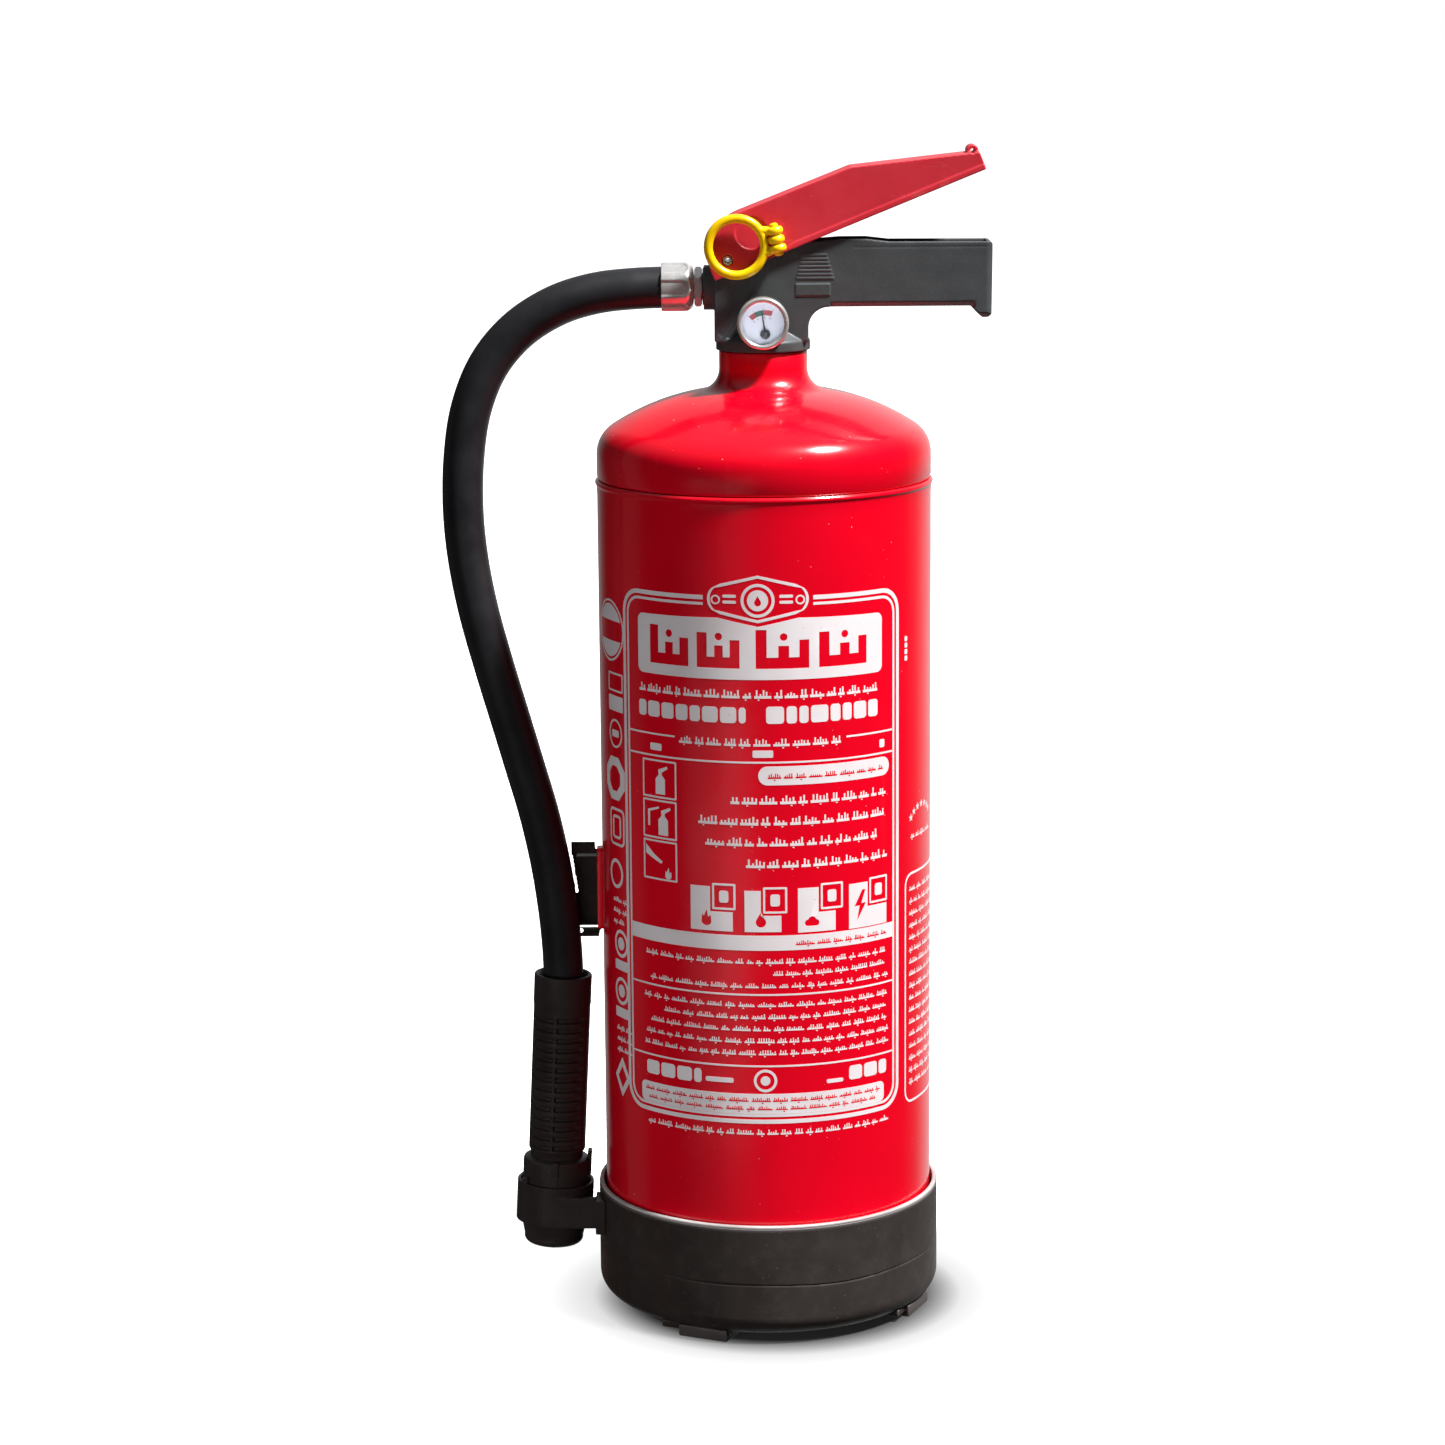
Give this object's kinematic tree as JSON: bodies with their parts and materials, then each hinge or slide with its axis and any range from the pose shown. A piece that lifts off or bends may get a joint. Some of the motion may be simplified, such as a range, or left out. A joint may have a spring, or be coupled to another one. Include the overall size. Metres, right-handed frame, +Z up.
{
  "type": "fire extinguisher",
  "caption": "Upright dry powder fire extinguisher with squeeze lever over a carry handle, safety pin and pull ring, gauge, side hose, clipped nozzle and rubber boot.",
  "frame": {"origin": "on the floor, at the vessel's own axis, in the middle of the boot's cross of feet", "axes": "+Z up along the vessel, +X along the carry handle, -X to the hose and nozzle, -Y to the gauge and the pull ring"},
  "size_m": [0.2465, 0.1568, 0.5293],
  "materials": {
    "red_paint": "gloss red powder coat with a white screen print",
    "red_plastic": "satin moulded red",
    "black_moulding": "satin dark grey with a fine moulded grain",
    "boot_rubber": "matte warm black, scuffed",
    "hose_rubber": "satin black",
    "nozzle_rubber": "satin warm black",
    "clip_plastic": "satin black",
    "yellow_plastic": "satin moulded yellow",
    "chrome": "bright plated, lightly scratched",
    "steel": "drawn",
    "brass": "machined",
    "dial": "printed white",
    "needle": "painted dark grey",
    "lens": "clear",
    "seal_rubber": "matte",
    "grey_plastic": "satin",
    "powder": "fine settled powder"
  },
  "bodies": {
    "root": {"vessel_shell": "red_paint", "vessel_dome": "red_paint", "neck_collar": "steel", "base_boot": "boot_rubber", "powder_charge": "powder", "valve_body": "black_moulding", "valve_core": "brass", "neck_seal": "seal_rubber", "gland_nut": "brass", "stem_oring": "seal_rubber", "siphon_adapter": "grey_plastic", "dip_tube": "grey_plastic", "stem_spring": "steel", "lever_pivot_pin": "steel", "gauge_case": "chrome", "gauge_bezel": "chrome", "gauge_dial": "dial", "gauge_lens": "lens", "gauge_seal": "seal_rubber", "bourdon_tube": "brass", "hose_fitting": "chrome", "fitting_seal": "seal_rubber", "ferrule": "chrome", "hose": "hose_rubber", "nozzle_grip": "nozzle_rubber", "nozzle_cup": "nozzle_rubber", "nozzle_holder": "nozzle_rubber", "hose_clip": "clip_plastic", "clip_lug": "red_paint"},
    "lever": {"lever": "red_plastic"},
    "stem": {"valve_stem": "steel", "stem_seal": "seal_rubber"},
    "safety_pin": {"safety_pin": "yellow_plastic", "ring_hinge_pin": "yellow_plastic"},
    "pull_ring": {"pull_ring": "yellow_plastic"},
    "needle": {"gauge_needle": "needle"}
  },
  "joints": [
    {"name": "lever_squeeze", "type": "hinge", "parent": "root", "child": "lever", "pos_m": [-0.0154, 0, 0.4797], "axis": [0, 1, 0], "range_deg": [0, 11], "stiffness_Nm_per_rad": 1.2, "springref_deg": -17.19},
    {"name": "stem_press", "type": "slide", "parent": "root", "child": "stem", "axis": [0, 0, -1], "range_m": [0, 0.003], "deforming": ["stem_spring"]},
    {"name": "safety_pin_pull", "type": "slide", "parent": "lever", "child": "safety_pin", "axis": [0, -1, 0], "range_m": [0, 0.045]},
    {"name": "pull_ring_swing", "type": "hinge", "parent": "safety_pin", "child": "pull_ring", "pos_m": [0.0061, -0.0188, 0.4892], "axis": [-0.1977, 0, 0.9803], "range_deg": [0, 110]},
    {"name": "gauge_needle_turn", "type": "hinge", "parent": "root", "child": "needle", "pos_m": [0.00102, -0.024, 0.44811], "axis": [0, 1, 0], "range_deg": [-37.5, 30.5], "stiffness_Nm_per_rad": 0.0002}
  ],
  "couplings": [
    {"joint": "stem_press", "follows": "lever_squeeze", "m_per_rad": 0.0154}
  ]
}
